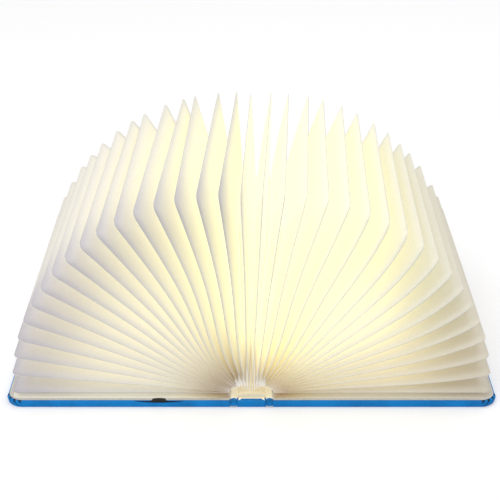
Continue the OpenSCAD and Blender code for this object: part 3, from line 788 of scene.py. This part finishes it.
def fold_mesh(name, pleats):
    """One object over some pleats, each a grid of its own, as (object, places)."""
    places, outs, alongs, heights, shares = (np.stack(part) for part in zip(*pleats))
    index = np.arange(places.size).reshape(places.shape)
    obj = smooth_object(name, fanned(places, outs, alongs, heights), grid_faces(index))
    lit_and_shaded_tint, light = paper_light(places, alongs, heights, shares)
    paint(obj, "lit_and_shaded_tint", lit_and_shaded_tint)
    paint(obj, "light", light)
    obj.data.materials.append(fold_paper)
    thicken(obj, FOLD_SHEET, -1)
    return obj, places


shares = np.linspace(0, 1, PLEAT_STEPS + 1)
for side, word in SIDES:
    firsts = [k - LAST_PLACE if side < 0 else k + 0.5 for k in range(PAGES_PER_SIDE - 1)]
    pleats = [between_pages(first, shares) for first in firsts] + [middle_pleat(side < 0)]
    folds, places = fold_mesh(f"{word}_folds", pleats)
    follow_place(folds)
    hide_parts(f"{word}_bellows")
    last_fold, places = fold_mesh(f"{word}_last_fold", [last_pleat(side)])
    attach(last_fold, f"{word}_cover")
    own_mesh(last_fold)
    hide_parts(f"{word}_bellows")

# The end leaves: one sheet of page paper glued down inside each cover over the turn-in,
# with the cover's round corners.
LEAF_INNER, LEAF_MARGIN, LEAF_SHEET = 0.0158, 0.0010, 0.00025
LEAF_END_MARGIN = 0.0018


def glued_leaf(columns=150, rows=80):
    """A sheet from the joint to the fore edge: each column's half length shrinks in the
    outer corners, and the rows are closer together at head and tail."""
    outer, radius = COVER_OUTER - LEAF_MARGIN, COVER_CORNER - LEAF_MARGIN
    main = np.linspace(LEAF_INNER, outer - radius, columns)
    turn = np.radians(np.linspace(0, 90, 16))[1:]
    x = np.concatenate([main, outer - radius * (1 - np.sin(turn))])[:, None]
    into = np.clip(x - (outer - radius), 0, radius)
    straight = COVER_HALF_LENGTH - LEAF_END_MARGIN - radius
    half = straight + np.sqrt(np.maximum(radius ** 2 - into ** 2, 0))
    return x, half * np.sin(np.linspace(-np.pi / 2, np.pi / 2, rows))[None, :]


glued_paper = plain_finish("glued_end_paper", (0.62, 0.59, 0.53), (0.72, 0.69, 0.63),
                           scale=450, grain=0.00003, roughness=0.75)
x, y = glued_leaf()
z = COVER_THICKNESS + LEAF_SHEET / 2
for side, word in SIDES:
    leaf = grid_mesh(f"{word}_glued_leaf", np.stack(np.broadcast_arrays(side * x, y, z), -1))
    leaf.data.materials.append(glued_paper)
    thicken(leaf, LEAF_SHEET, 0)
    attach(leaf, f"{word}_cover")
    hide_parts(f"{word}_end_leaf")

# The charging parts at the front edge of the left cover: a black lens-shaped bezel with
# a slot, the socket behind it, the small circuit, the flat cell, and the ribbon cable that
# feeds the light bar.
black_plastic = plain_finish("black_moulding", (0.004, 0.004, 0.005), (0.010, 0.010, 0.011),
                             scale=800, grain=0.00002, roughness=0.75)
solder_green = plain_finish("circuit_board", (0.005, 0.05, 0.02), (0.01, 0.09, 0.04),
                            scale=700, grain=0.00002, roughness=0.4)
foil_pouch = plain_finish("foil_pouch_cell", (0.45, 0.45, 0.46), (0.55, 0.55, 0.56),
                          scale=500, grain=0.00003, roughness=0.35, metallic=0.8)
plated = plain_finish("nickel_plate", (0.50, 0.49, 0.46), (0.62, 0.61, 0.58),
                      scale=1500, grain=0.00001, roughness=0.28, metallic=1.0)
ribbon_film = plain_finish("ribbon_film", (0.62, 0.60, 0.55), (0.74, 0.72, 0.66),
                           scale=900, grain=0.00002, roughness=0.4)
dress("battery", foil_pouch)
dress("charge_board", solder_green)
dress("charge_socket", plated)
BEZEL_HALF, BEZEL_Z, BEZEL_TIP = 0.0058, 0.00475, 0.04
BEZEL_SECTION = (
    (-0.1045, 0.0), (-0.1045, 0.00088), (-0.1060, 0.00106), (-0.1074, 0.00118),
    (-0.1080, 0.00108), (-0.1082, 0.00080), (-0.1082, 0.00062), (-0.1066, 0.00055),
    (-0.1066, 0.0), (-0.1082, -0.00005), (-0.1082, -0.00038), (-0.1080, -0.00048),
    (-0.1060, -0.00048))


def lens_bezel(columns=31):
    """The bezel as a section of (y, height over its middle) carried across it, with a slot
    let into the front. The heights shrink by 1 - s^2 to a thin tip at both ends."""
    s = np.sin(np.linspace(-np.pi / 2, np.pi / 2, columns))[:, None]
    y, rise = np.array(BEZEL_SECTION).T
    z = BEZEL_Z + rise * (BEZEL_TIP + (1 - BEZEL_TIP) * (1 - s ** 2))
    return np.stack(np.broadcast_arrays(-SOCKET_X + BEZEL_HALF * s, y, z), -1)


points = lens_bezel()
bezel = grid_mesh("socket_lens", points, close_columns=True, extra_faces=end_faces(points))
bezel.data.materials.append(black_plastic)
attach(bezel, "left_cover")
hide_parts("socket_bezel")

RIBBON_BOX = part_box("ribbon_cable")
RIBBON_THICKNESS = 0.00025
RIBBON_LINE = np.array([
    (-0.0580, 0.004575), (-0.0174, 0.004575), (-0.0154, 0.005025), (-0.0105, 0.005025),
    (-0.0101, 0.005925), (-0.0065, 0.005925), (-0.0045, 0.006725), (-0.0030, 0.006725)])
flat_part = np.linspace(*RIBBON_LINE[:2, 0], 12)
x = np.concatenate([flat_part[:-1], np.linspace(*RIBBON_LINE[[1, -1], 0], 60)])
z = np.interp(x, RIBBON_LINE[:, 0], RIBBON_LINE[:, 1])[:, None]
y = np.linspace(RIBBON_BOX[0][1], RIBBON_BOX[1][1], 9)[None, :]
ribbon = grid_mesh("ribbon", np.stack(np.broadcast_arrays(x[:, None], y, z), -1))
ribbon.data.materials.append(ribbon_film)
thicken(ribbon, RIBBON_THICKNESS, 0)
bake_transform(ribbon)
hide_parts("ribbon_cable")

# The magnets: nickel-plated discs let into both boards near their outer corners, which
# hold the book shut, and in the right board a small one that the light's sensor feels.
for word in ("left", "right"):
    dress(f"{word}_magnets", plated)
